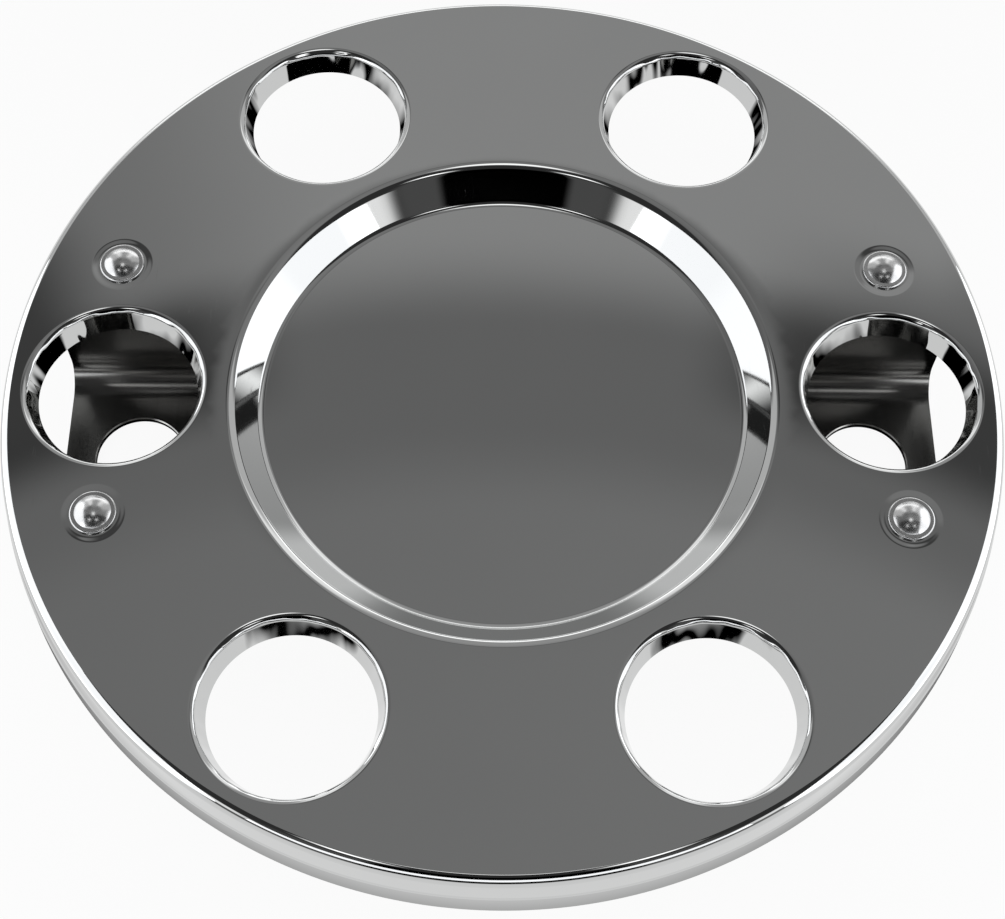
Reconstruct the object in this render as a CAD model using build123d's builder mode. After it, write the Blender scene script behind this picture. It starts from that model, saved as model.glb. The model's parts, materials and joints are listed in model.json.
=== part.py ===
# Wheel simulator: a pressed sheet cover for a six-stud truck wheel, on two bent brackets riveted behind it.
# Millimetres. Z is the wheel axis, pointing out of the wheel, and Z = 0 is the plane where the brackets seat.
import os
from math import cos, radians, sin, tan
from build123d import *

# Wheel fit
stud_circle_diameter = 205.0
stud_count = 6
stud_hole_diameter = 25.0
standoff = 44.0

# Cover sheet, measured on the side that shows
sheet = 1.0
nut_hole_diameter = 42.2
collar_depth = 7.0
collar_slope = 74.0
collar_lip_radius = 2.0
collar_land = 0.3
recess_land = 5.9
recess_depth = 8.5
recess_wall_angle = 50.0
recess_foot_radius = 2.5
recess_lip_radius = 3.6

# Shoulder and skirt
rim_land = 2.0
shoulder_edge_radius = 0.6
shoulder_edge_turn = 20.0
shoulder_edge_land = 0.1
shoulder_radius = 3.4
skirt_flare = 7.0
skirt_upper_depth = 8.9
skirt_lower_flare = 3.0
skirt_lower_depth = 9.1
crease_step = 0.3
crease_slope = 30.0
crease_root_radius = 0.5
crease_radius = 1.2

# Stud brackets
strap_thickness = 2.0
strap_width = 42.0
strap_collar_gap = 5.0
strap_bend_radius = 3.5
strap_foot_radius = 8.0
strap_tab_radius = 9.0
foot_hole_edge = 0.3

# Rivets and the dimples they sit in
rivet_outset = 1.5
rivet_shank_diameter = 6.0
rivet_hole_clearance = 0.1
rivet_head_diameter = 12.0
rivet_head_height = 2.9
rivet_dome_diameter = 9.4
rivet_flange = 0.9
rivet_flange_edge = 0.5
rivet_tail_diameter = 9.0
rivet_tail_height = 2.5
rivet_tail_clearance = 0.5
dimple_depth = 0.1
dimple_seat_margin = 0.4
dimple_slope_width = 2.0

# Radii about a nut hole's own centre
stud_radius = stud_circle_diameter / 2
collar_clear = nut_hole_diameter / 2
collar_corner = collar_clear + collar_depth / tan(radians(collar_slope))
collar_mouth = collar_corner + collar_lip_radius * tan(radians(collar_slope / 2)) + collar_land
wall_reach = collar_clear + sheet + strap_collar_gap
bend_outer_radius = strap_bend_radius + strap_thickness
rivet_offset = wall_reach + bend_outer_radius + rivet_tail_diameter / 2 + rivet_tail_clearance

# Radii about a rivet's own centre
shank_radius = rivet_shank_diameter / 2
head_radius = rivet_head_diameter / 2
dome_radius = rivet_dome_diameter / 2
tail_radius = rivet_tail_diameter / 2
rivet_hole_radius = shank_radius + rivet_hole_clearance
dimple_seat = head_radius + dimple_seat_margin
dimple_rim = dimple_seat + dimple_slope_width
dimple_middle = (dimple_seat + dimple_rim) / 2

# Heights where pieces meet
face_back = standoff - sheet
crease_height = standoff - skirt_upper_depth
rivet_seat = standoff - dimple_depth
flange_top = rivet_seat + rivet_flange
tab_top = rivet_seat - sheet
tail_seat = tab_top - strap_thickness

# Radii of the cover's section about the wheel axis, from the recess out to the crease of the skirt
recess_lip = stud_radius - collar_mouth - recess_land
recess_foot = recess_lip - recess_depth / tan(radians(recess_wall_angle))
face_reach = stud_radius + collar_mouth + rim_land
edge_tangent = shoulder_edge_radius * tan(radians(shoulder_edge_turn / 2))
shoulder_turn = 90 - skirt_flare - shoulder_edge_turn
shoulder_tangent = shoulder_radius * tan(radians(shoulder_turn / 2))
edge_reach = face_reach + edge_tangent
edge_run = edge_tangent + shoulder_tangent + shoulder_edge_land
shoulder_reach = edge_reach + edge_run * cos(radians(shoulder_edge_turn))
shoulder_height = standoff - edge_run * sin(radians(shoulder_edge_turn))
crease_reach = shoulder_reach + (shoulder_height - crease_height) * tan(radians(skirt_flare))
skirt_reach = crease_reach + crease_step
crease_foot = crease_height - crease_step / tan(radians(crease_slope))
skirt_foot = crease_height - skirt_lower_depth
foot_reach = skirt_reach + (crease_foot - skirt_foot) * tan(radians(skirt_lower_flare))

# Plan positions
hole_angles = [360.0 / stud_count * index for index in range(stud_count)]
hole_centres = [(stud_radius * cos(radians(a)), stud_radius * sin(radians(a))) for a in hole_angles]
sides = {"left": -1, "right": 1}
rivet_rows = {"far": rivet_offset, "near": -rivet_offset}
rivet_centres = {
    f"rivet_{side}_{row}": (sign * (stud_radius + rivet_outset), y)
    for side, sign in sides.items()
    for row, y in rivet_rows.items()
}


def upright_plane(centre):
    """The vertical plane through a point of the plan, with X across it and Y up the wheel axis."""
    return Plane(origin=(centre[0], centre[1], 0), x_dir=(1, 0, 0), z_dir=(0, -1, 0))


def upright_axis(centre):
    """The line along the wheel axis through a point of the plan."""
    return Axis((centre[0], centre[1], 0), (0, 0, 1))


os.makedirs("parts", exist_ok=True)

# Cover
with BuildPart() as cover:
    with BuildSketch(Plane.XZ):
        with BuildLine():
            FilletPolyline(
                (0, standoff - recess_depth),
                (recess_foot, standoff - recess_depth),
                (recess_lip, standoff),
                (edge_reach, standoff),
                (shoulder_reach, shoulder_height),
                (crease_reach, crease_height),
                (skirt_reach, crease_foot),
                (foot_reach, skirt_foot),
                radius=[
                    recess_foot_radius,
                    recess_lip_radius,
                    shoulder_edge_radius,
                    shoulder_radius,
                    crease_root_radius,
                    crease_radius,
                ],
            )
            offset(amount=sheet, side=Side.RIGHT)
        make_face()
    revolve(axis=Axis.Z)

    # Nut holes, each with its edge turned down into a collar
    with Locations(*[(x, y, standoff) for x, y in hole_centres]):
        Hole(collar_mouth, depth=2 * sheet)
    for centre in hole_centres:
        with BuildSketch(upright_plane(centre)):
            with BuildLine():
                FilletPolyline(
                    (collar_mouth, standoff),
                    (collar_corner, standoff),
                    (collar_clear, standoff - collar_depth),
                    radius=collar_lip_radius,
                )
                offset(amount=sheet, side=Side.LEFT)
            make_face()
        revolve(axis=upright_axis(centre))

    # Shallow dimples where the rivets pull the sheet in
    with Locations(*[(x, y, standoff) for x, y in rivet_centres.values()]):
        Hole(dimple_rim, depth=2 * sheet)
    for centre in rivet_centres.values():
        with BuildSketch(upright_plane(centre)):
            with BuildLine():
                Spline(
                    (dimple_seat, rivet_seat),
                    (dimple_middle, (rivet_seat + standoff) / 2),
                    (dimple_rim, standoff),
                    tangents=((1, 0), (1, 0)),
                )
                Line((dimple_rim, standoff), (dimple_rim, face_back))
                Spline(
                    (dimple_rim, face_back),
                    (dimple_middle, (face_back + tab_top) / 2),
                    (dimple_seat, tab_top),
                    tangents=((-1, 0), (-1, 0)),
                )
                Polyline(
                    (dimple_seat, tab_top),
                    (rivet_hole_radius, tab_top),
                    (rivet_hole_radius, rivet_seat),
                    (dimple_seat, rivet_seat),
                )
            make_face()
        revolve(axis=upright_axis(centre))
cover.part.label = "cover"
export_step(cover.part, "parts/cover.step")

# Brackets: a strap bent down to a foot on the wheel, with a rounded tab under each rivet
for side, sign in sides.items():
    foot_x = sign * stud_radius
    tab_x = sign * (stud_radius + rivet_outset)
    with BuildPart() as bracket:
        with BuildSketch(Plane.YZ.offset(foot_x)):
            with BuildLine():
                FilletPolyline(
                    (-rivet_offset - strap_tab_radius, tab_top),
                    (-wall_reach, tab_top),
                    (-wall_reach, strap_thickness),
                    (wall_reach, strap_thickness),
                    (wall_reach, tab_top),
                    (rivet_offset + strap_tab_radius, tab_top),
                    radius=[bend_outer_radius, strap_foot_radius, strap_foot_radius, bend_outer_radius],
                )
                offset(amount=strap_thickness, side=Side.RIGHT)
            make_face()
        extrude(amount=strap_width / 2, both=True)

        # In plan the tabs narrow towards their rivets, and the strap stays inside the shoulder
        with BuildSketch():
            with Locations((foot_x, 0)):
                Rectangle(strap_width, 2 * (wall_reach + bend_outer_radius))
            with Locations(*[(tab_x, y) for y in rivet_rows.values()]):
                Circle(strap_tab_radius)
            make_hull()
            Circle(face_reach, mode=Mode.INTERSECT)
        extrude(amount=standoff, mode=Mode.INTERSECT)

        # Stud hole in the foot, with its edges broken
        with Locations((foot_x, 0, strap_thickness)):
            Hole(stud_hole_diameter / 2, depth=strap_thickness)
        chamfer(bracket.edges(Select.LAST).filter_by(GeomType.CIRCLE), foot_hole_edge)
        with Locations(*[(tab_x, y, tab_top) for y in rivet_rows.values()]):
            Hole(rivet_hole_radius, depth=strap_thickness)
    bracket.part.label = f"bracket_{side}"
    export_step(bracket.part, f"parts/bracket_{side}.step")

# Rivets: a flanged dome on the face, a shank through both sheets and a formed tail behind
for name, centre in rivet_centres.items():
    with BuildPart() as rivet:
        with BuildSketch(upright_plane(centre)):
            with BuildLine():
                TangentArc((0, rivet_seat + rivet_head_height), (dome_radius, flange_top), tangent=(1, 0))
                Line((dome_radius, flange_top), (head_radius - rivet_flange_edge, flange_top))
                TangentArc(
                    (head_radius - rivet_flange_edge, flange_top),
                    (head_radius, flange_top - rivet_flange_edge),
                    tangent=(1, 0),
                )
                Polyline(
                    (head_radius, flange_top - rivet_flange_edge),
                    (head_radius, rivet_seat),
                    (shank_radius, rivet_seat),
                    (shank_radius, tail_seat),
                    (tail_radius, tail_seat),
                )
                TangentArc((0, tail_seat - rivet_tail_height), (tail_radius, tail_seat), tangent=(1, 0))
                Line((0, tail_seat - rivet_tail_height), (0, rivet_seat + rivet_head_height))
            make_face()
        revolve(axis=upright_axis(centre))
    rivet.part.label = name
    export_step(rivet.part, f"parts/{name}.step")
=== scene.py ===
# Looks of the wheel simulator: a mirror-bright cover on two bright straps, on a white studio table.
import json
from math import asin, ceil, cos, hypot, pi, radians, sin, tan

import bpy
from mathutils import Matrix, Vector
from mathutils.geometry import delaunay_2d_cdt


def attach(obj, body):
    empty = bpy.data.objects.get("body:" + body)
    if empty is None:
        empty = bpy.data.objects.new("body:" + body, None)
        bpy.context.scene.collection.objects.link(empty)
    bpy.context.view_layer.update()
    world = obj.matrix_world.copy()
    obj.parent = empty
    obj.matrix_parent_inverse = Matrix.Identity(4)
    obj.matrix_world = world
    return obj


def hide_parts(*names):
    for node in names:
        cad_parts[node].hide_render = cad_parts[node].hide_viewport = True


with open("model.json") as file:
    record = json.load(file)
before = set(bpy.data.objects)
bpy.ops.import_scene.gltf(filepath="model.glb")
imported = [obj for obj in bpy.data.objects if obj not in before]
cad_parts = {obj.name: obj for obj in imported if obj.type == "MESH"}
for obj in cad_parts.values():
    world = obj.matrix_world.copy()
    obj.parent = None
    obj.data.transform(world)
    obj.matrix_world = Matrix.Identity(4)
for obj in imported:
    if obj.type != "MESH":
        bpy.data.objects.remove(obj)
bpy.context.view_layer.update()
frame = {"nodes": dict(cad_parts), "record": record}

# Camera, in metres and degrees, with the focal length in pixels of a picture this wide
picture_width = 1005
focal_pixels = 1829.7
sensor_width = 36.0
camera_place = (-0.0028, -0.2377, 0.4640)
camera_yaw = 0.716
camera_pitch = 62.752
camera_roll = 1.083

# Table, in metres. The mirror finish sees painted shade under the cover's rim, lighter outwards from there,
# and painted light further in under the cover, but for a painted dark band across the middle.
table_radius = 2.5
table_sides = 96
table_white = 0.92
table_white_radius = 0.40
table_fade_radius = 1.10
table_edge_grey = 0.16
table_glow = 0.93
table_painted_shade_radius = 0.134
table_painted_shade_end_radius = 0.1485
table_painted_light_level = 1.0
table_painted_light_radius = 0.118
table_painted_light_fade = 0.128
table_painted_shade_band = dict(middle=0.002, dark=0.020, light=0.030)

# Studio lights, in metres and degrees: where each stands, the way it faces as a turn about Z,
# its width and height, its shape and its brightness
studio_lights = {
    "light_left": dict(place=(-0.30, -0.06, 0.10), turn=-90, size=(0.54, 0.31), shape="ELLIPSE", level=1.7),
    "light_right": dict(place=(0.30, -0.06, 0.10), turn=90, size=(0.54, 0.31), shape="ELLIPSE", level=1.7),
    "light_behind": dict(place=(0.0, -0.50, 0.20), turn=0, size=(0.80, 0.13), shape="RECTANGLE", level=1.8),
}
light_colour = (0.97, 0.98, 1.0)

# Surroundings by direction, in degrees: azimuth runs from +Y towards +X and elevation up from the horizon.
# The even grey grows towards the zenith and towards +X. Each panel has its middle, its half sizes and the
# softness of its edges, as azimuth and elevation, and its brightness. Later panels cover earlier ones.
zenith_level = 0.27
horizon_level = 0.22
right_gain = 0.35
panels = {
    "dark_room": dict(middle=(180, 45), half=(86, 37), soft=(6, 6), level=0.04),
    "far_wall": dict(middle=(0, 22), half=(58, 24), soft=(3, 3), level=0.70),
    "left_strip": dict(middle=(-21, 26), half=(7, 20), soft=(3, 3), level=1.3),
    "right_strip": dict(middle=(21, 26), half=(7, 20), soft=(3, 3), level=1.3),
    "far_middle": dict(middle=(0, 30), half=(11, 17), soft=(3, 3), level=0.45),
    "far_horizon": dict(middle=(0, 4), half=(32, 8), soft=(4, 4), level=2.0),
    "dim_band": dict(middle=(0, 60), half=(60, 3), soft=(1.5, 1.5), level=0.20),
    "grey_card": dict(middle=(0, 51.5), half=(25, 5.5), soft=(2, 1.6), level=0.39),
    "card_left": dict(middle=(-24, 51.5), half=(10, 5.5), soft=(8, 1.6), level=0.26),
    "card_right": dict(middle=(26, 56.5), half=(8, 1.5), soft=(6, 1.5), level=0.20),
    "dark_left": dict(middle=(-25, 58.4), half=(10, 1.8), soft=(4, 1.0), level=0.06),
    "dark_right": dict(middle=(25, 58.4), half=(10, 1.8), soft=(4, 1.0), level=0.07),
    "dark_edge_left": dict(middle=(-29, 56), half=(6, 3), soft=(3, 1.5), level=0.07),
    "overhead": dict(middle=(0, 90), half=(190, 7), soft=(2, 2), level=1.8),
    "high_left": dict(middle=(-148, 59), half=(8, 3), soft=(6, 2), level=2.7),
    "high_right": dict(middle=(148, 59), half=(8, 3), soft=(6, 2), level=2.7),
    "corner_left": dict(middle=(-131, 20), half=(9, 8), soft=(3, 3), level=1.3),
    "corner_right": dict(middle=(131, 20), half=(9, 8), soft=(3, 3), level=1.3),
    "dusk_behind": dict(middle=(180, 25), half=(40, 22), soft=(6, 6), level=0.10),
    "dark_behind": dict(middle=(180, 25), half=(23, 26), soft=(2, 2), level=0.0),
}

# Millimetres in a metre
metre = 1000.0

# Cover sheet, in millimetres, with the sizes that the part has
stud_count = 6
stud_radius = 102.5
standoff = 44.0
sheet = 1.0
collar_clear = 21.1
collar_depth = 7.0
collar_slope = 74.0
collar_lip_radius = 2.0
collar_land = 0.3
recess_land = 5.9
recess_depth = 8.5
recess_wall_angle = 50.0
recess_foot_radius = 2.5
recess_lip_radius = 3.6
rim_land = 2.0
shoulder_edge_radius = 0.6
shoulder_edge_turn = 20.0
shoulder_edge_land = 0.1
shoulder_radius = 3.4
skirt_flare = 7.0
skirt_upper_depth = 8.9
skirt_lower_flare = 3.0
skirt_lower_depth = 9.1
crease_step = 0.3
crease_slope = 30.0
crease_root_radius = 0.5
crease_radius = 1.2
rivet_x = 104.0
rivet_y = 37.6
rivet_centres = {
    "rivet_left_far": (-rivet_x, rivet_y),
    "rivet_left_near": (-rivet_x, -rivet_y),
    "rivet_right_far": (rivet_x, rivet_y),
    "rivet_right_near": (rivet_x, -rivet_y),
}
rivet_hole_radius = 3.1
dimple_depth = 0.1
dimple_seat = 6.4
dimple_rim = 8.4

# Rivets, in millimetres, with the sizes that the part has
shank_radius = 3.0
head_radius = 6.0
head_height = 2.9
dome_radius = 4.7
flange_height = 0.9
flange_edge = 0.5
tail_radius = 4.5
tail_height = 2.5
strap_thickness = 2.0

# The slight crown that the pressing leaves beside the recess
crown_from = 76.5
crown_to = 70.0
crown_drop = 0.12

# Fineness of the meshes
cover_sides = 360
collar_sides = 144
dimple_sides = 96
rivet_sides = 96
cap_steps = 24
dimple_steps = 12
arc_step = 5.0
face_spacing = 3.0
face_margin = 1.3
smallest_inside_radius = 0.2
weld_digits = 4
weld_reach = 1e-6
smallest_reach = 0.1

# Finishes: a pair of colours, roughness from least to most, the grain of each noise per metre,
# and each relief as a height in metres and a strength. The folds grow between two distances
# from a hole's axis, in metres.
chrome_colours = ((0.540, 0.546, 0.545), (0.562, 0.567, 0.564))
chrome_roughness = (0.02, 0.045)
chrome_cloud_grain = 25.0
chrome_mark_grain = (3000.0, 160.0, 400.0)
chrome_mark_limits = (0.66, 0.74)
chrome_mark_roughness = 0.05
chrome_wave_grain = 18.0
chrome_wave_relief = (0.0004, 0.05)
chrome_fold_grain = (130.0, 130.0, 0.0)
chrome_fold_relief = (0.0012, 1.0)
chrome_fold_edge = (0.0234, 0.0226)
chrome_polish_grain = 900.0
chrome_polish_relief = (0.00002, 0.012)
strap_colours = ((0.27, 0.268, 0.258), (0.34, 0.338, 0.33))
strap_roughness = (0.18, 0.22)
strap_cloud_grain = 60.0
strap_draw_grain = (2500.0, 40.0, 40.0)
strap_draw_relief = (0.00004, 0.012)
strap_wave_grain = 45.0
strap_wave_relief = (0.0012, 0.12)
rivet_colours = ((0.53, 0.53, 0.53), (0.58, 0.585, 0.585))
rivet_roughness = (0.20, 0.26)
rivet_cloud_grain = 300.0
rivet_pit_grain = 450.0
rivet_pit_relief = (0.00025, 0.06)
noise_limits = (0.3, 0.7)
noise_middle = 0.5

# Sockets of a Mix node that work on colours
mix_share = 0
mix_first = 6
mix_second = 7
mix_result = 2


def add_node(tree, kind, inputs=None, **settings):
    """A new node with its settings made and its inputs set or linked."""
    node = tree.nodes.new(kind)
    for name, value in settings.items():
        setattr(node, name, value)
    for name, value in (inputs or {}).items():
        if isinstance(value, bpy.types.NodeSocket):
            tree.links.new(value, node.inputs[name])
        else:
            node.inputs[name].default_value = value
    return node


def math_of(tree, operation, *values):
    """The result of one sum on sockets or numbers."""
    return add_node(tree, "ShaderNodeMath", dict(enumerate(values)), operation=operation).outputs[0]


def mapped(tree, value, low, high, to_low, to_high, curve="LINEAR"):
    """A value moved from one range to another, held inside it."""
    inputs = {"Value": value, "From Min": low, "From Max": high, "To Min": to_low, "To Max": to_high}
    return add_node(tree, "ShaderNodeMapRange", inputs, interpolation_type=curve).outputs["Result"]


def mixed(tree, share, first, second):
    """A number between two others."""
    inputs = {"Factor": share, "A": first, "B": second}
    return add_node(tree, "ShaderNodeMix", inputs, data_type="FLOAT").outputs["Result"]


def soft_window(tree, angle, middle, half, soft):
    """1 within half of the middle and 0 beyond it, over a soft edge."""
    turn = math_of(tree, "WRAP", math_of(tree, "SUBTRACT", angle, middle), 180, -180)
    away = math_of(tree, "ABSOLUTE", turn)
    return mapped(tree, away, half + soft, half - soft, 0.0, 1.0, "SMOOTHSTEP")


def studio_world():
    """Even grey surroundings with light and dark panels in them."""
    world = bpy.data.worlds.new("studio")
    world.use_nodes = True
    tree = world.node_tree
    tree.nodes.clear()
    direction = add_node(tree, "ShaderNodeTexCoord").outputs["Generated"]
    axes = add_node(tree, "ShaderNodeSeparateXYZ", {"Vector": direction}).outputs
    azimuth = math_of(tree, "DEGREES", math_of(tree, "ARCTAN2", axes["X"], axes["Y"]))
    elevation = math_of(tree, "DEGREES", math_of(tree, "ARCSINE", axes["Z"]))
    level = mapped(tree, elevation, 0, 90, horizon_level, zenith_level)
    level = math_of(tree, "MULTIPLY", level, math_of(tree, "MULTIPLY_ADD", axes["X"], right_gain, 1.0))
    for panel in panels.values():
        windows = zip((azimuth, elevation), panel["middle"], panel["half"], panel["soft"])
        across, upward = (soft_window(tree, *window) for window in windows)
        level = mixed(tree, math_of(tree, "MULTIPLY", across, upward), level, panel["level"])
    background = add_node(tree, "ShaderNodeBackground", {"Color": level}).outputs["Background"]
    add_node(tree, "ShaderNodeOutputWorld", {"Surface": background})
    bpy.context.scene.world = world


def add_lights():
    """Soft lights that face the part from its sides and from behind the camera."""
    for name, settings in studio_lights.items():
        lamp = bpy.data.lights.new(name, "AREA")
        lamp.shape = settings["shape"]
        lamp.size, lamp.size_y = settings["size"]
        area = lamp.size * lamp.size_y * (pi / 4 if lamp.shape == "ELLIPSE" else 1.0)
        lamp.energy = settings["level"] * pi * area
        lamp.color = light_colour
        light = bpy.data.objects.new(name, lamp)
        light.location = settings["place"]
        light.rotation_euler = (pi / 2, 0.0, radians(settings["turn"]))
        light.visible_camera = False
        bpy.context.scene.collection.objects.link(light)


def shader_tree(name):
    """A new material, its empty tree and its metal shader."""
    material = bpy.data.materials.new(name)
    material.use_nodes = True
    tree = material.node_tree
    tree.nodes.clear()
    metal = add_node(tree, "ShaderNodeBsdfPrincipled", {"Metallic": 1.0})
    add_node(tree, "ShaderNodeOutputMaterial", {"Surface": metal.outputs["BSDF"]})
    return material, tree, metal


def noise_of(tree, place, scale, detail=2.0):
    """Soft random spots, from 0 to 1."""
    inputs = {"Vector": place, "Scale": scale, "Detail": detail}
    return add_node(tree, "ShaderNodeTexNoise", inputs).outputs["Fac"]


def stretched(tree, place, scale):
    """The same place with its axes drawn out or pressed together."""
    inputs = {0: place, 1: scale}
    return add_node(tree, "ShaderNodeVectorMath", inputs, operation="MULTIPLY").outputs["Vector"]


def tinted(tree, share, first, second):
    """A colour between two others."""
    inputs = {mix_share: share, mix_first: (*first, 1.0), mix_second: (*second, 1.0)}
    return add_node(tree, "ShaderNodeMix", inputs, data_type="RGBA").outputs[mix_result]


def bumped(tree, height, distance, strength, under=None):
    """A normal that follows a height, in metres, on top of another normal."""
    inputs = {"Height": height, "Distance": distance, "Strength": strength}
    if under is not None:
        inputs["Normal"] = under
    return add_node(tree, "ShaderNodeBump", inputs).outputs["Normal"]


def hole_distance(tree, place):
    """How far a point is from the axis of the nearest nut hole, in metres."""
    axes = add_node(tree, "ShaderNodeSeparateXYZ", {"Vector": place}).outputs
    squares = [math_of(tree, "MULTIPLY", axes[name], axes[name]) for name in ("X", "Y")]
    reach = math_of(tree, "SQRT", math_of(tree, "ADD", *squares))
    half_turn = pi / stud_count
    turn = math_of(tree, "WRAP", math_of(tree, "ARCTAN2", axes["Y"], axes["X"]), half_turn, -half_turn)
    outward = math_of(tree, "MULTIPLY", reach, math_of(tree, "COSINE", turn))
    along = math_of(tree, "SUBTRACT", outward, stud_radius / metre)
    across = math_of(tree, "MULTIPLY", reach, math_of(tree, "SINE", turn))
    squares = [math_of(tree, "MULTIPLY", side, side) for side in (along, across)]
    return math_of(tree, "SQRT", math_of(tree, "ADD", *squares))


def cover_chrome(name):
    """Mirror plate, with puckered collars, faint waves on the face and a fine polish."""
    material, tree, metal = shader_tree(name)
    place = add_node(tree, "ShaderNodeTexCoord").outputs["Object"]
    cloud = noise_of(tree, place, chrome_cloud_grain)
    polish = noise_of(tree, place, chrome_polish_grain)
    scratch = noise_of(tree, stretched(tree, place, chrome_mark_grain), scale=1.0, detail=3.0)
    tree.links.new(tinted(tree, cloud, *chrome_colours), metal.inputs["Base Color"])
    haze = mapped(tree, cloud, *noise_limits, *chrome_roughness)
    marks = mapped(tree, scratch, *chrome_mark_limits, 0.0, chrome_mark_roughness)
    tree.links.new(math_of(tree, "ADD", haze, marks), metal.inputs["Roughness"])
    collar = mapped(tree, hole_distance(tree, place), *chrome_fold_edge, 0.0, 1.0, "SMOOTHSTEP")
    folds = noise_of(tree, stretched(tree, place, chrome_fold_grain), scale=1.0, detail=1.0)
    pucker = math_of(tree, "MULTIPLY", math_of(tree, "SUBTRACT", folds, noise_middle), collar)
    wave = noise_of(tree, place, chrome_wave_grain, detail=1.0)
    normal = bumped(tree, wave, *chrome_wave_relief)
    normal = bumped(tree, pucker, *chrome_fold_relief, normal)
    normal = bumped(tree, polish, *chrome_polish_relief, normal)
    tree.links.new(normal, metal.inputs["Normal"])
    return material


def bracket_steel(name):
    """Rolled strap, with draw lines along its length and a soft sheen."""
    material, tree, metal = shader_tree(name)
    place = add_node(tree, "ShaderNodeTexCoord").outputs["Object"]
    cloud = noise_of(tree, place, strap_cloud_grain)
    draw = noise_of(tree, stretched(tree, place, strap_draw_grain), scale=1.0, detail=4.0)
    tree.links.new(tinted(tree, cloud, *strap_colours), metal.inputs["Base Color"])
    tree.links.new(mapped(tree, draw, *noise_limits, *strap_roughness), metal.inputs["Roughness"])
    wave = noise_of(tree, place, strap_wave_grain, detail=1.0)
    normal = bumped(tree, wave, *strap_wave_relief)
    normal = bumped(tree, draw, *strap_draw_relief, normal)
    tree.links.new(normal, metal.inputs["Normal"])
    return material


def rivet_steel(name):
    """Polished dome with small pits and marks from its setting tool."""
    material, tree, metal = shader_tree(name)
    place = add_node(tree, "ShaderNodeTexCoord").outputs["Object"]
    cloud = noise_of(tree, place, rivet_cloud_grain)
    tree.links.new(tinted(tree, cloud, *rivet_colours), metal.inputs["Base Color"])
    tree.links.new(mapped(tree, cloud, *noise_limits, *rivet_roughness), metal.inputs["Roughness"])
    pits = noise_of(tree, place, rivet_pit_grain)
    tree.links.new(bumped(tree, pits, *rivet_pit_relief), metal.inputs["Normal"])
    return material


def painted_shade_band(tree, depth, band):
    """Painted shade: 0 along a band across the table and 1 beyond it."""
    away = math_of(tree, "ABSOLUTE", math_of(tree, "SUBTRACT", depth, band["middle"]))
    return mapped(tree, away, band["dark"], band["light"], 0.0, 1.0, "SMOOTHSTEP")


def table_material():
    """White near the part, grey far out, with a faint shadow, and painted shade and light in the mirror."""
    material = bpy.data.materials.new("table")
    material.use_nodes = True
    tree = material.node_tree
    tree.nodes.clear()
    place = add_node(tree, "ShaderNodeTexCoord").outputs["Object"]
    reach = add_node(tree, "ShaderNodeVectorMath", {"Vector": place}, operation="LENGTH").outputs["Value"]
    fade = (table_white_radius, table_fade_radius)
    paper_colour = mapped(tree, reach, *fade, table_white, table_edge_grey, "SMOOTHSTEP")
    glow_colour = mapped(tree, reach, *fade, 1.0, table_edge_grey, "SMOOTHSTEP")
    depth = add_node(tree, "ShaderNodeSeparateXYZ", {"Vector": place}).outputs["Y"]
    # Painted shade in the mirror, dark under the cover's rim and rising to the glow further out
    rim_painted_shade = mapped(tree, reach, table_painted_shade_radius, table_painted_shade_end_radius, 0.0, glow_colour)
    # Painted light in the mirror under the cover, where the cover shades the table
    under = mapped(tree, reach, table_painted_light_radius, table_painted_light_fade, table_painted_light_level, 0.0)
    # A painted dark band across that painted light
    under = math_of(tree, "MULTIPLY", under, painted_shade_band(tree, depth, table_painted_shade_band))
    mirror_painted_shade_and_light = math_of(tree, "MAXIMUM", rim_painted_shade, under)
    paper = add_node(tree, "ShaderNodeBsdfDiffuse", {"Color": paper_colour}).outputs["BSDF"]
    rays = add_node(tree, "ShaderNodeLightPath").outputs
    seen = math_of(tree, "MAXIMUM", rays["Is Camera Ray"], rays["Is Transmission Ray"])
    share = math_of(tree, "MAXIMUM", math_of(tree, "MULTIPLY", seen, table_glow), rays["Is Glossy Ray"])
    # Mirror rays see only the painted shade and light; camera rays see the even glow over the paper
    colour = mixed(tree, rays["Is Glossy Ray"], glow_colour, mirror_painted_shade_and_light)
    glow = add_node(tree, "ShaderNodeEmission", {"Color": colour}).outputs["Emission"]
    surface = add_node(tree, "ShaderNodeMixShader", {0: share, 1: paper, 2: glow}).outputs["Shader"]
    add_node(tree, "ShaderNodeOutputMaterial", {"Surface": surface})
    return material


def add_table():
    """A round table top that the part stands on."""
    turns = [2 * pi * side / table_sides for side in range(table_sides)]
    rim = [(table_radius * cos(turn), table_radius * sin(turn), 0.0) for turn in turns]
    mesh = bpy.data.meshes.new("table")
    mesh.from_pydata(rim, [], [range(table_sides)])
    mesh.materials.append(table_material())
    table = bpy.data.objects.new("table", mesh)
    bpy.context.scene.collection.objects.link(table)


def add_camera():
    """A camera that stands where the picture was taken from."""
    yaw, pitch, roll = radians(camera_yaw), radians(camera_pitch), radians(camera_roll)
    ahead = Vector((sin(yaw) * cos(pitch), cos(yaw) * cos(pitch), -sin(pitch)))
    level = Vector((cos(yaw), -sin(yaw), 0.0))
    upright = level.cross(ahead)
    right = level * cos(roll) + upright * sin(roll)
    up = upright * cos(roll) - level * sin(roll)
    lens = bpy.data.cameras.new("camera")
    lens.sensor_width = sensor_width
    lens.lens = focal_pixels / picture_width * sensor_width
    camera = bpy.data.objects.new("camera", lens)
    facing = Matrix((right, up, -ahead)).transposed().to_4x4()
    camera.matrix_world = Matrix.Translation(camera_place) @ facing
    bpy.context.scene.collection.objects.link(camera)
    bpy.context.scene.camera = camera


def left_of(way):
    """The same way turned a quarter to the left."""
    return Vector((-way.y, way.x))


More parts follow.
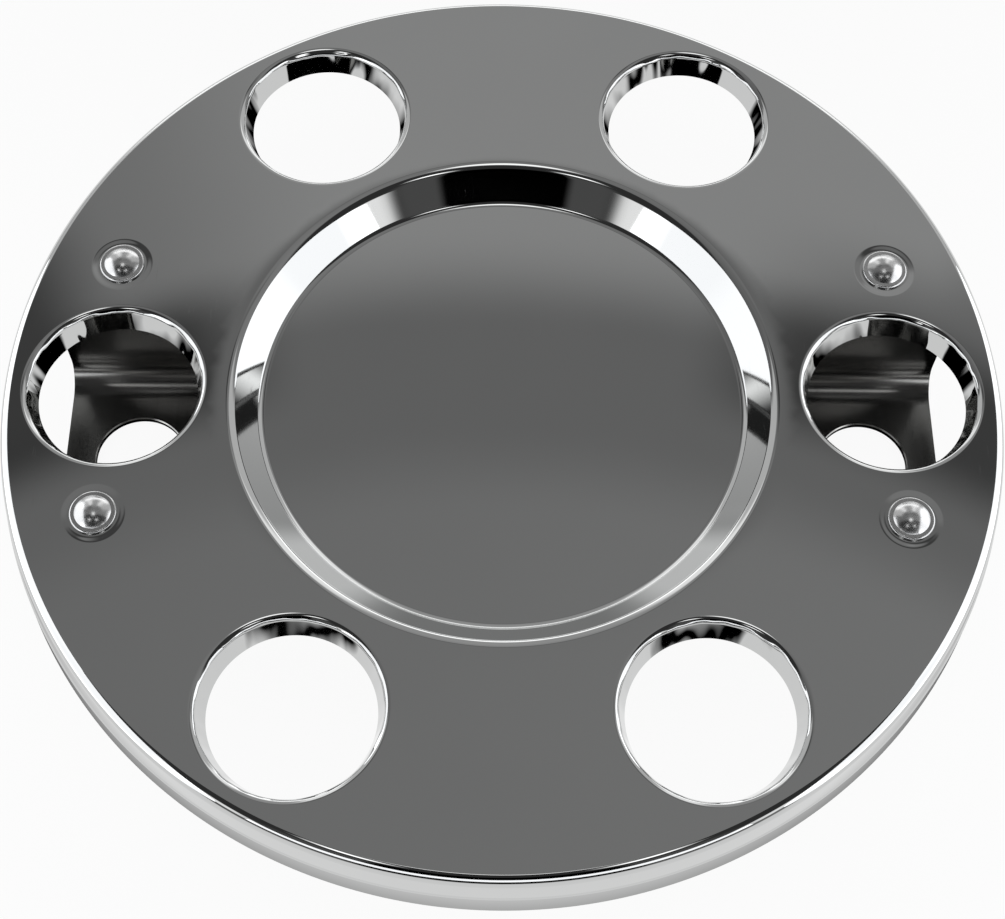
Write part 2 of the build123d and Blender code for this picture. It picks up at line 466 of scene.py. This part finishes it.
def inset_corners(corners):
    """The corners of a section moved one sheet thickness to its right."""
    ways = [(after - before).normalized() for before, after in zip(corners, corners[1:])]
    moved = [corners[0] - left_of(ways[0]) * sheet]
    for corner, before, after in zip(corners[1:], ways, ways[1:]):
        middle = (left_of(before) + left_of(after)).normalized()
        moved.append(corner - middle * sheet / middle.dot(left_of(before)))
    return moved + [corners[-1] - left_of(ways[-1]) * sheet]


def rounded_section(corners, radii):
    """Points along a section with its corners rounded, each with the normal on its left."""
    ways = [(after - before).normalized() for before, after in zip(corners, corners[1:])]
    samples = [(corners[0], left_of(ways[0]))]
    for corner, before, after, radius in zip(corners[1:], ways, ways[1:], radii):
        side = 1 if before.cross(after) > 0 else -1
        turn = before.angle(after)
        start = corner - before * radius * tan(turn / 2)
        centre = start + left_of(before) * radius * side
        steps = ceil(turn / radians(arc_step))
        for step in range(steps + 1):
            way = Matrix.Rotation(side * turn * step / steps, 2) @ before
            samples.append((centre - left_of(way) * radius * side, left_of(way)))
    return samples + [(corners[-1], left_of(ways[-1]))]


def sheet_section(corners, radii):
    """The shown side of a bent sheet, and its back run the other way."""
    corners = [Vector(corner) for corner in corners]
    shown = rounded_section(corners, radii)
    ways = [after - before for before, after in zip(corners, corners[1:])]
    bends = [1 if before.cross(after) > 0 else -1 for before, after in zip(ways, ways[1:])]
    inside = [max(radius + bend * sheet, smallest_inside_radius) for radius, bend in zip(radii, bends)]
    back = rounded_section(inset_corners(corners), inside)
    return shown, [(place, -normal) for place, normal in reversed(back)]


def end_edge(before, after):
    """The cut edge of a sheet, from the end of one side to the start of the other."""
    normal = left_of((after[0] - before[0]).normalized())
    return [(before[0], normal), (after[0], normal)]


def smooth_step(share):
    """A soft rise from 0 to 1 and its steepness."""
    share = min(max(share, 0.0), 1.0)
    return share * share * (3 - 2 * share), 6 * share * (1 - share)


def crown(reach):
    """How far the sheet springs down at a distance from the axis, and its slope there."""
    rise, steepness = smooth_step((reach - crown_from) / (crown_to - crown_from))
    return -crown_drop * rise, -crown_drop * steepness / (crown_to - crown_from)


class Shell:
    """A mesh that is built face by face, with a normal for each corner."""

    def __init__(self):
        self.index = {}
        self.places = []
        self.faces = []
        self.normals = []

    def add(self, corners):
        """One face, from points and normals in millimetres on the sheet before it springs."""
        face = []
        for place, normal in corners:
            reach = hypot(place[0], place[1])
            drop, slope = crown(reach)
            key = tuple(round(value, weld_digits) for value in place)
            if key not in self.index:
                self.index[key] = len(self.places)
                self.places.append((place[0] / metre, place[1] / metre, (place[2] + drop) / metre))
            face.append(self.index[key])
            lean = slope * normal[2] / max(reach, smallest_reach)
            tilted = Vector((normal[0] - lean * place[0], normal[1] - lean * place[1], normal[2]))
            self.normals.append(tilted.normalized())
        self.faces.append(face)

    def revolve(self, samples, centre, sides):
        """A strip of faces round an upright axis for each run between two points of a section."""
        turns = [(cos(2 * pi * side / sides), sin(2 * pi * side / sides)) for side in range(sides)]
        for (inner, inner_normal), (outer, outer_normal) in zip(samples, samples[1:]):
            if (outer - inner).length < 10**-weld_digits:
                continue
            for side in range(sides):
                corners = []
                ends = (
                    (inner, inner_normal, turns[side]),
                    (outer, outer_normal, turns[side]),
                    (outer, outer_normal, turns[(side + 1) % sides]),
                    (inner, inner_normal, turns[(side + 1) % sides]),
                )
                for point, normal, (across, along) in ends:
                    place = (centre[0] + point.x * across, centre[1] + point.x * along, point.y)
                    corners.append((place, (normal.x * across, normal.x * along, normal.y)))
                if inner.x == 0:
                    corners = corners[:3]
                elif outer.x == 0:
                    corners = corners[:2] + corners[3:]
                self.add(corners)

    def finish(self, name):
        """The finished mesh."""
        mesh = bpy.data.meshes.new(name)
        mesh.from_pydata(self.places, [], self.faces)
        mesh.polygons.foreach_set("use_smooth", [True] * len(self.faces))
        mesh.normals_split_custom_set(self.normals)
        return mesh


def circle_points(centre, radius, sides):
    """Points spaced evenly round a circle."""
    turns = [2 * pi * side / sides for side in range(sides)]
    return [Vector((centre[0] + radius * cos(turn), centre[1] + radius * sin(turn))) for turn in turns]


def face_triangles(inner, outer, holes):
    """Triangles of the flat face between two circles about the axis, with round holes in it."""
    rings = [((0.0, 0.0), inner, cover_sides), ((0.0, 0.0), outer, cover_sides)] + holes
    points, edges = [], []
    for centre, radius, sides in rings:
        first = len(points)
        points += circle_points(centre, radius, sides)
        edges += [(first + side, first + (side + 1) % sides) for side in range(sides)]
    row_height = face_spacing * sin(pi / 3)
    rows = ceil(outer / row_height)
    for row in range(-rows, rows + 1):
        for column in range(-rows, rows + 1):
            spot = Vector(((column + row % 2 / 2) * face_spacing, row * row_height))
            on_face = inner + face_margin < spot.length < outer - face_margin
            clear = all((spot - Vector(centre)).length > radius + face_margin for centre, radius, _ in holes)
            if on_face and clear:
                points.append(spot)
    whole_hull = 0
    found, _, triangles, _, _, _ = delaunay_2d_cdt(points, edges, [], whole_hull, weld_reach)
    kept = []
    for triangle in triangles:
        middle = sum((found[corner] for corner in triangle), Vector((0.0, 0.0))) / 3
        on_face = inner < middle.length < outer
        if on_face and all((middle - Vector(centre)).length > radius for centre, radius, _ in holes):
            kept.append([found[corner] for corner in triangle])
    return kept


def cover_mesh():
    """The pressed sheet of the cover, with exact normals for its mirror finish."""
    face_back = standoff - sheet
    rivet_seat = standoff - dimple_depth
    collar_corner = collar_clear + collar_depth / tan(radians(collar_slope))
    collar_mouth = collar_corner + collar_lip_radius * tan(radians(collar_slope / 2)) + collar_land
    recess_lip = stud_radius - collar_mouth - recess_land
    recess_floor = standoff - recess_depth + crown_drop
    recess_foot = recess_lip - (standoff - recess_floor) / tan(radians(recess_wall_angle))
    face_reach = stud_radius + collar_mouth + rim_land
    edge_tangent = shoulder_edge_radius * tan(radians(shoulder_edge_turn / 2))
    shoulder_tangent = shoulder_radius * tan(radians((90 - skirt_flare - shoulder_edge_turn) / 2))
    edge_reach = face_reach + edge_tangent
    edge_run = edge_tangent + shoulder_tangent + shoulder_edge_land
    shoulder_reach = edge_reach + edge_run * cos(radians(shoulder_edge_turn))
    shoulder_height = standoff - edge_run * sin(radians(shoulder_edge_turn))
    crease_height = standoff - skirt_upper_depth
    crease_reach = shoulder_reach + (shoulder_height - crease_height) * tan(radians(skirt_flare))
    skirt_reach = crease_reach + crease_step
    crease_foot = crease_height - crease_step / tan(radians(crease_slope))
    skirt_foot = crease_height - skirt_lower_depth
    foot_reach = skirt_reach + (crease_foot - skirt_foot) * tan(radians(skirt_lower_flare))
    face_inner = recess_lip + recess_lip_radius * tan(radians(recess_wall_angle / 2)) + collar_land
    face_outer = face_reach - collar_land

    shell = Shell()
    axis = (0.0, 0.0)
    dish = sheet_section(
        [(0, recess_floor), (recess_foot, recess_floor), (recess_lip, standoff), (face_inner, standoff)],
        [recess_foot_radius, recess_lip_radius],
    )
    for side in dish:
        shell.revolve(side, axis, cover_sides)
    skirt = sheet_section(
        [
            (face_outer, standoff),
            (edge_reach, standoff),
            (shoulder_reach, shoulder_height),
            (crease_reach, crease_height),
            (skirt_reach, crease_foot),
            (foot_reach, skirt_foot),
        ],
        [shoulder_edge_radius, shoulder_radius, crease_root_radius, crease_radius],
    )
    for side in (*skirt, end_edge(skirt[0][-1], skirt[1][0])):
        shell.revolve(side, axis, cover_sides)

    collar = sheet_section(
        [(collar_clear, standoff - collar_depth), (collar_corner, standoff), (collar_mouth, standoff)],
        [collar_lip_radius],
    )
    hole_angles = [2 * pi * index / stud_count for index in range(stud_count)]
    hole_centres = [(stud_radius * cos(angle), stud_radius * sin(angle)) for angle in hole_angles]
    for centre in hole_centres:
        for side in (*collar, end_edge(collar[1][-1], collar[0][0])):
            shell.revolve(side, centre, collar_sides)

    slope = []
    for step in range(dimple_steps + 1):
        share = step / dimple_steps
        rise, steepness = smooth_step(share)
        lean = steepness * dimple_depth / (dimple_rim - dimple_seat)
        place = Vector((dimple_seat + share * (dimple_rim - dimple_seat), rivet_seat + rise * dimple_depth))
        slope.append((place, Vector((-lean, 1.0)).normalized()))
    down = Vector((0.0, -sheet))
    shown = [(Vector((rivet_hole_radius, rivet_seat)), Vector((0.0, 1.0)))] + slope
    back = [(place + down, -normal) for place, normal in reversed(shown)]
    for centre in rivet_centres.values():
        for side in (shown, back, end_edge(back[-1], shown[0])):
            shell.revolve(side, centre, dimple_sides)

    holes = [(centre, collar_mouth, collar_sides) for centre in hole_centres]
    holes += [(centre, dimple_rim, dimple_sides) for centre in rivet_centres.values()]
    for triangle in face_triangles(face_inner, face_outer, holes):
        shell.add([((spot.x, spot.y, standoff), (0, 0, 1)) for spot in triangle])
        shell.add([((spot.x, spot.y, face_back), (0, 0, -1)) for spot in reversed(triangle)])
    return shell.finish("cover_sheet")


def cap_samples(reach, rise):
    """Points from the top of a round cap down to its edge at height 0, each with its normal."""
    radius = (reach * reach + rise * rise) / (2 * rise)
    turns = [asin(reach / radius) * step / cap_steps for step in range(cap_steps + 1)]
    normals = [Vector((sin(turn), cos(turn))) for turn in turns]
    return [(normal * radius + Vector((0.0, rise - radius)), normal) for normal in normals]


def rivet_mesh(name, centre):
    """A flanged dome, a shank and a formed tail."""
    seat = standoff - dimple_depth
    flange_top = seat + flange_height
    tail_seat = seat - sheet - strap_thickness
    dome = [
        (place + Vector((0.0, flange_top)), normal)
        for place, normal in cap_samples(dome_radius, head_height - flange_height)
    ]
    tail = [
        (Vector((place.x, tail_seat - place.y)), Vector((normal.x, -normal.y)))
        for place, normal in reversed(cap_samples(tail_radius, tail_height))
    ]
    corners = [(dome_radius, flange_top), (head_radius, flange_top), (head_radius, seat)]
    shank = [(head_radius, seat), (shank_radius, seat), (shank_radius, tail_seat), (tail_radius, tail_seat)]
    runs = [dome, rounded_section([Vector(corner) for corner in corners], [flange_edge])]
    runs += [rounded_section([Vector(first), Vector(last)], []) for first, last in zip(shank, shank[1:])]
    shell = Shell()
    for run in (*runs, tail):
        shell.revolve(run, centre, rivet_sides)
    return shell.finish(name)


def add_piece(mesh, node, finish):
    """A piece with exact normals, in place of the plainer mesh of its solid."""
    mesh.materials.append(finish)
    piece = bpy.data.objects.new(mesh.name, mesh)
    bpy.context.scene.collection.objects.link(piece)
    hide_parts(node)
    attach(piece, "root")


def finish_nodes():
    """Each node gets its finish, and pieces with exact normals stand in for the cover and the rivets."""
    makers = (cover_chrome, bracket_steel, rivet_steel)
    finishes = {maker.__name__: maker(maker.__name__) for maker in makers}
    for part in frame["record"]["subparts"]:
        node = frame["nodes"][part["node"]]
        node.data.materials.clear()
        node.data.materials.append(finishes[part["material_slot"]])
    add_piece(cover_mesh(), "cover", finishes["cover_chrome"])
    for name, centre in rivet_centres.items():
        add_piece(rivet_mesh(f"{name}_turned", centre), name, finishes["rivet_steel"])


bpy.context.scene.view_settings.view_transform = "Standard"
studio_world()
add_lights()
add_table()
add_camera()
finish_nodes()
